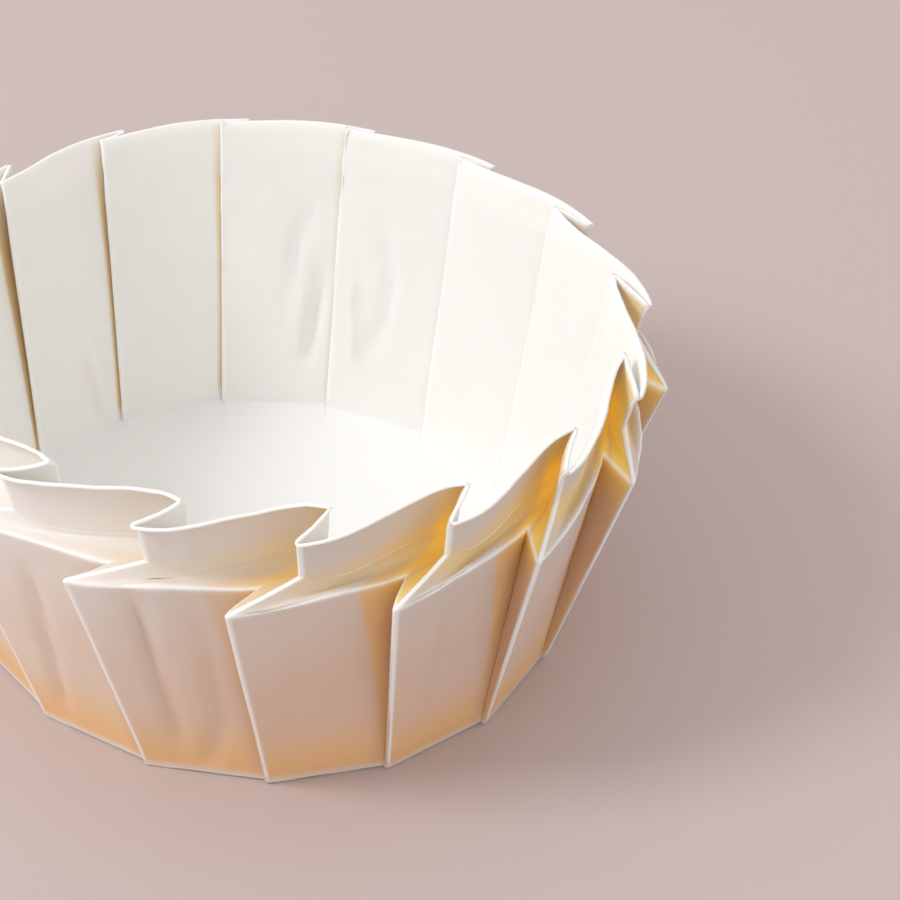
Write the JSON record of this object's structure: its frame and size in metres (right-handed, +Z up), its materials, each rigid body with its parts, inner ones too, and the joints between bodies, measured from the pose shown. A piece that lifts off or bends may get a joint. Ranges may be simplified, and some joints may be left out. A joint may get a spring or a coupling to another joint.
{
  "type": "paper cake liner",
  "caption": "Flared round baking liner of pleated white paper, open at the top, flat base, knife pleats leaning one way, turned-in shoulder lip below the rim.",
  "frame": {"origin": "centre of the flat base's underside", "axes": "+Z up through the middle of the mouth; -Y is the side that faces the camera"},
  "size_m": [0.173, 0.173, 0.0806],
  "materials": {
    "paper": "matt uncoated baking paper, slightly translucent"
  },
  "bodies": {
    "root": {"liner": "paper"}
  },
  "joints": []
}
